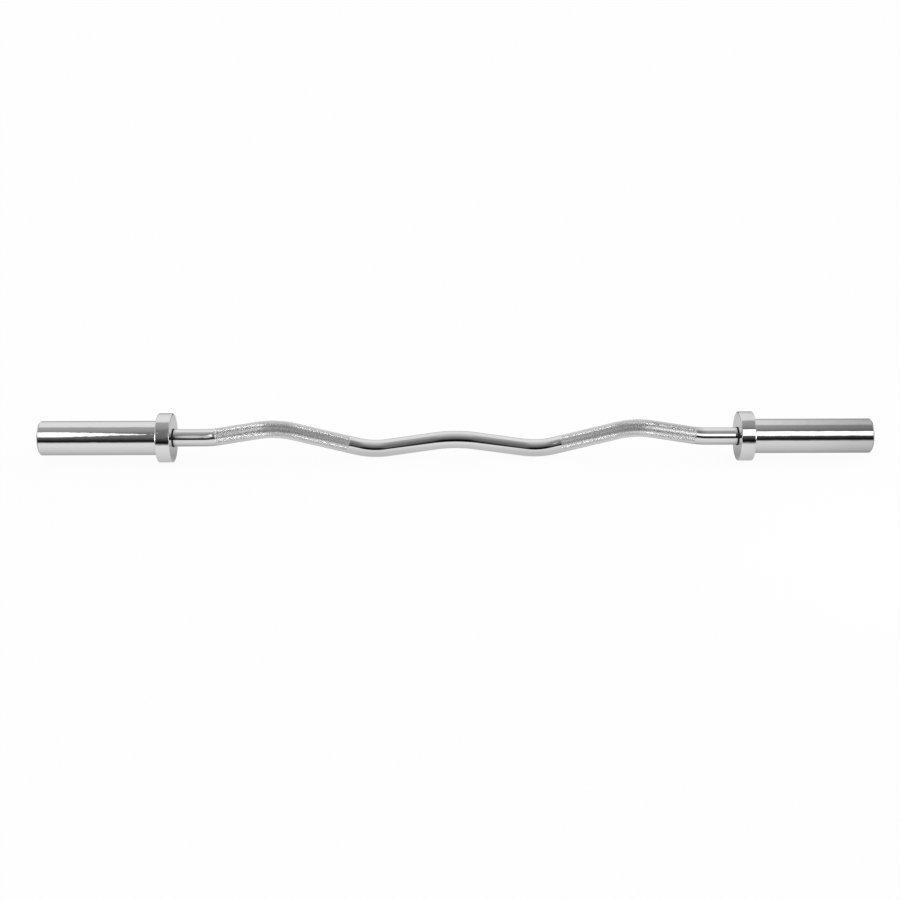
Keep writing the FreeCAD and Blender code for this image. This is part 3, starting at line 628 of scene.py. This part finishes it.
# %% Runs and arcs
line_start, line_end = Vector((shaft_low.x, 0, 0)), Vector((shaft_high.x, 0, 0))
points, handles, line_length = [line_start], [], 0.0
stops = [line_start, *corners, line_end]
for before, corner, after, radius in zip(stops, corners, stops[2:], radii):
    arriving, leaving = (corner - before).normalized(), (after - corner).normalized()
    arc_angle = arriving.angle(leaving)
    reach = radius * math.tan(arc_angle / 2)
    pull = radius * math.tan(arc_angle / 4) * 4 / 3
    run = corner - arriving * reach - points[-1]
    handles += [(points[-1] + run / 3, points[-1] + run * 2 / 3)]
    points += [points[-1] + run, corner + leaving * reach]
    handles += [(points[-2] + arriving * pull, points[-1] - leaving * pull)]
    line_length += run.length + radius * arc_angle
run = line_end - points[-1]
handles += [(points[-1] + run / 3, points[-1] + run * 2 / 3)]
points += [line_end]
line_length += run.length
print("bend line:", len(points), "points,", round(line_length / MM, 2), "mm")

# %% [markdown]
# ## The curve
# The points and handles become a curve, along which a modifier can later bend a mesh. Its twist is set to
# the least, so that the bar doesn't turn about itself on the way.

# %% The curve
CURVE_STEPS = 64

line = bpy.data.curves.new("bend_line", "CURVE")
line.dimensions = "3D"
line.twist_mode = "MINIMUM"
line.resolution_u = CURVE_STEPS
spline = line.splines.new("BEZIER")
spline.bezier_points.add(len(points) - 1)
for k, point in enumerate(spline.bezier_points):
    point.handle_left_type = point.handle_right_type = "FREE"
    point.co = points[k]
    point.handle_left = handles[k - 1][1] if k else points[k]
    point.handle_right = handles[k][0] if k < len(handles) else points[k]
bend_line = bpy.data.objects.new("bend_line", line)
bpy.context.scene.collection.objects.link(bend_line)
print("curve:", len(handles), "stretches of", CURVE_STEPS, "steps")

# %% [markdown]
# ## The bar's profile
# The maker starts with a straight round bar, turns its ends down on a lathe, rolls the knurl into it and only
# then bends it. Modelling in that order keeps each step simple. First comes the profile, as places along the
# bar with their radii. Under each knurl the bar is a little thinner. Each end has a shoulder, a journal for
# the bushes and a groove for the circlip, which are measured from the middle of the bent bar. The straight
# bar is longer, so they move outwards by the difference.

# %% Profile
KNURL_FROM, KNURL_TO = 161.5 * MM, 358.5 * MM
CORE_RADIUS = 12.1 * MM
SHOULDER = 415 * MM
JOURNAL_RADIUS = 11.0 * MM
GROOVE_RADIUS = 10.3 * MM
GROOVE_FROM, GROOVE_TO = 579.95 * MM, 581.25 * MM
JOURNAL_CHAMFER = 1 * MM

middle = line_length / 2
straighter = middle - shaft_high.x
half_profile = [
    (KNURL_FROM, SHAFT_RADIUS), (KNURL_FROM, CORE_RADIUS), (KNURL_TO, CORE_RADIUS), (KNURL_TO, SHAFT_RADIUS),
    (SHOULDER + straighter, SHAFT_RADIUS), (SHOULDER + straighter, JOURNAL_RADIUS),
    (GROOVE_FROM + straighter, JOURNAL_RADIUS), (GROOVE_FROM + straighter, GROOVE_RADIUS),
    (GROOVE_TO + straighter, GROOVE_RADIUS), (GROOVE_TO + straighter, JOURNAL_RADIUS),
    (middle - JOURNAL_CHAMFER, JOURNAL_RADIUS), (middle, JOURNAL_RADIUS - JOURNAL_CHAMFER),
]
profile = [(-x, r) for x, r in reversed(half_profile)] + half_profile
print("profile:", len(profile), "steps, longer by", round(straighter / MM, 2), "mm at each end")

# %% [markdown]
# ## The straight bar
# The bar could be a cylinder that is cut, but a circle pulled out along the profile, ring by ring, gives an
# even mesh at once. The rings lie close together, so that the bends come out round.

# %% Straight bar
BAR_SIDES = 128
RING_SPACING = 3 * MM


def pull_out(name, profile, spacing, sides):
    """A round bar along X, pulled out ring by ring through (place, radius) steps, with both ends closed."""
    place, radius = profile[0]
    bpy.ops.object.select_all(action="DESELECT")
    bpy.ops.mesh.primitive_circle_add(vertices=sides, radius=radius, fill_type="NGON",
                                      location=(place, 0, 0), rotation=(0, math.pi / 2, 0))
    bar = bpy.context.object
    bar.name = name
    bpy.ops.object.transform_apply()
    bpy.ops.object.mode_set(mode="EDIT")
    bpy.ops.mesh.select_all(action="SELECT")
    for next_place, next_radius in profile[1:]:
        count = max(1, round((next_place - place) / spacing))
        for _ in range(count):
            bpy.ops.mesh.extrude_region_move(
                TRANSFORM_OT_translate={"value": ((next_place - place) / count, 0, 0)})
        if next_radius != radius:
            ratio = next_radius / radius
            bpy.ops.transform.resize(value=(1, ratio, ratio), center_override=(next_place, 0, 0))
        place, radius = next_place, next_radius
    bpy.ops.mesh.select_all(action="SELECT")
    bpy.ops.mesh.normals_make_consistent(inside=False)
    bpy.ops.object.mode_set(mode="OBJECT")
    return bar


bent_shaft = pull_out("bent_shaft", profile, RING_SPACING, BAR_SIDES)
bent_shaft.data.materials.append(shaft_chrome)
print("straight bar:", len(bent_shaft.data.polygons), "faces")

# %% [markdown]
# ## The knurl's diamonds
# Two hardened wheels press two sets of slanting grooves into the bar, and where they cross, small diamonds
# are left standing. A pattern in the finish could suggest them, but a knurl breaks up the outline and
# glitters, so it is modelled. The number of columns and the slant of the grooves give a diamond's width and
# length, and the slope of its sides gives its height.

# %% Diamonds
KNURL_COLUMNS = BAR_SIDES // 2
KNURL_SLANT = math.radians(30)
VALLEY_RADIUS = 12.38 * MM
FACET_SLOPE = math.radians(35)
CREST_SHARE = 0.7
RUN_OUT = 0.4 * MM

column_turn = 2 * math.pi / KNURL_COLUMNS
diamond_width = 2 * VALLEY_RADIUS * math.sin(column_turn / 2)
diamond_length = diamond_width / math.tan(KNURL_SLANT)
diamond_side = math.hypot(diamond_length, diamond_width) / 2
crest_inset = (1 - CREST_SHARE) * (diamond_length / 2) * (diamond_width / 2) / diamond_side
knurl_depth = crest_inset * math.tan(FACET_SLOPE)
knurl_rows = round((KNURL_TO - KNURL_FROM - 2 * RUN_OUT) / diamond_length - 0.5)
knurl_length = diamond_length * (knurl_rows + 0.5)
print("knurl:", knurl_rows, "rows of", 2 * KNURL_COLUMNS, "diamonds,", round(diamond_length / MM, 2), "by",
      round(diamond_width / MM, 2), "by", round(knurl_depth / MM, 3), "mm")

# %% [markdown]
# ## A ring of diamonds
# What repeats is modelled once. One diamond is a square, stretched, with its crest inset and raised and its
# side corners lowered onto the round bar. It is spun into a ring, and a copy of the ring, half a step on and
# half a column round, fills the gaps.

# %% Ring of diamonds
MERGE = 0.002 * MM
side_drop = VALLEY_RADIUS * (1 - math.cos(column_turn / 2))


def ring_of_diamonds(name, start):
    """Two rows of diamonds round the bar, the second half a step on from the first."""
    bpy.ops.object.select_all(action="DESELECT")
    bpy.ops.mesh.primitive_circle_add(vertices=4, radius=1, fill_type="NGON")
    knurl = bpy.context.object
    knurl.name = name
    bpy.ops.object.mode_set(mode="EDIT")
    bpy.ops.mesh.select_all(action="SELECT")
    bpy.ops.transform.resize(value=(diamond_length / 2, diamond_width / 2, 1), center_override=(0, 0, 0))
    bpy.ops.mesh.inset(thickness=crest_inset, depth=knurl_depth)
    select_where(knurl, lambda co: co.z == 0 and abs(co.y) > abs(co.x))
    bpy.ops.transform.translate(value=(0, 0, -side_drop))
    bpy.ops.mesh.select_all(action="SELECT")
    bpy.ops.transform.translate(value=(start + diamond_length / 2, 0, VALLEY_RADIUS))
    copies = KNURL_COLUMNS - 1
    bpy.ops.mesh.spin(steps=copies, dupli=True, angle=column_turn * copies, center=(0, 0, 0), axis=(1, 0, 0))
    bpy.ops.mesh.select_all(action="SELECT")
    bpy.ops.mesh.duplicate_move(TRANSFORM_OT_translate={"value": (diamond_length / 2, 0, 0)})
    bpy.ops.transform.rotate(value=column_turn / 2, orient_axis="X", center_override=(0, 0, 0))
    bpy.ops.mesh.select_all(action="SELECT")
    bpy.ops.mesh.remove_doubles(threshold=MERGE)
    bpy.ops.object.mode_set(mode="OBJECT")
    return knurl


print("a diamond's side corners drop by", round(side_drop / MM, 4), "mm")

# %% [markdown]
# ## The knurled tubes
# An Array modifier lays the rings in a row and merges them. At each end the diamonds run out into a plain
# ring at the bar's radius, which turns inwards. Bridging the two ends inside the bar closes the tube.

# %% Knurled tubes
KNURL_INSIDE = 12.0 * MM


def close_end(knurl, tip, into, end):
    """Runs the diamonds of one end out to a plain ring at the bar's radius, and turns it inwards."""
    select_where(knurl, lambda co: (co.x - tip) * into < diamond_length / 2 + MERGE
                 and math.hypot(co.y, co.z) < VALLEY_RADIUS + MERGE)
    bpy.ops.mesh.extrude_region_move()
    ratio = SHAFT_RADIUS / VALLEY_RADIUS
    bpy.ops.transform.resize(value=(0, ratio, ratio), center_override=(end, 0, 0))
    bpy.ops.mesh.extrude_region_move()
    ratio = KNURL_INSIDE / SHAFT_RADIUS
    bpy.ops.transform.resize(value=(1, ratio, ratio), center_override=(end, 0, 0))
    bpy.ops.object.mode_set(mode="OBJECT")


def knurled_tube(name, low, high):
    """A closed tube round the straight bar with diamonds on its outside."""
    start = (low + high - knurl_length) / 2
    knurl = ring_of_diamonds(name, start)
    rows = knurl.modifiers.new("rows", "ARRAY")
    rows.count = knurl_rows
    rows.use_relative_offset = False
    rows.use_constant_offset = True
    rows.constant_offset_displace = (diamond_length, 0, 0)
    rows.use_merge_vertices = True
    rows.merge_threshold = MERGE
    bpy.ops.object.modifier_apply(modifier=rows.name)
    close_end(knurl, start, 1, low)
    close_end(knurl, start + knurl_length, -1, high)
    select_where(knurl, lambda co: math.hypot(co.y, co.z) < KNURL_INSIDE + MERGE)
    bpy.ops.mesh.bridge_edge_loops(number_cuts=round((high - low) / RING_SPACING), interpolation="LINEAR")
    bpy.ops.mesh.select_all(action="SELECT")
    bpy.ops.mesh.normals_make_consistent(inside=False)
    bpy.ops.object.mode_set(mode="OBJECT")
    knurl.data.materials.append(knurl_chrome)
    return knurl


knurls = [knurled_tube("left_knurl", -KNURL_TO, -KNURL_FROM),
          knurled_tube("right_knurl", KNURL_FROM, KNURL_TO)]
print("knurls:", [len(knurl.data.polygons) for knurl in knurls], "faces")

# %% [markdown]
# ## Bending
# The bar goes through the press: a Curve modifier bends it and its knurls along the line. The three pieces
# then take the place of the frame's shaft and ride on it, and the line has done its work.

# %% Bending
SMOOTH_ANGLE = math.radians(30)


def bend(piece):
    """Bends a piece that lies along X, with its middle at nought, along the bend line."""
    bpy.ops.object.select_all(action="DESELECT")
    piece.select_set(True)
    bpy.context.view_layer.objects.active = piece
    bpy.ops.object.mode_set(mode="EDIT")
    bpy.ops.mesh.select_all(action="SELECT")
    bpy.ops.transform.translate(value=(middle, 0, 0))
    bpy.ops.object.mode_set(mode="OBJECT")
    press = piece.modifiers.new("press", "CURVE")
    press.object = bend_line
    press.deform_axis = "POS_X"
    bpy.ops.object.modifier_apply(modifier=press.name)
    bpy.ops.object.shade_smooth_by_angle(angle=SMOOTH_ANGLE)


for piece in [bent_shaft, *knurls]:
    bend(piece)
    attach(piece, "shaft")
    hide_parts("shaft")
    box_corners = [Vector(c) for c in piece.bound_box]
    print(piece.name, [round(min(c[k] for c in box_corners) / MM, 2) for k in range(3)],
          [round(max(c[k] for c in box_corners) / MM, 2) for k in range(3)], "mm")
bpy.data.objects.remove(bend_line)

# %% [markdown]
# ## Size
# The looks never change the size. Both boxes are written down, so that they can be compared.

# %% Size
bpy.context.view_layer.update()
low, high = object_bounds()
print("size:", [round(x / MM, 2) for x in high - low], "mm")
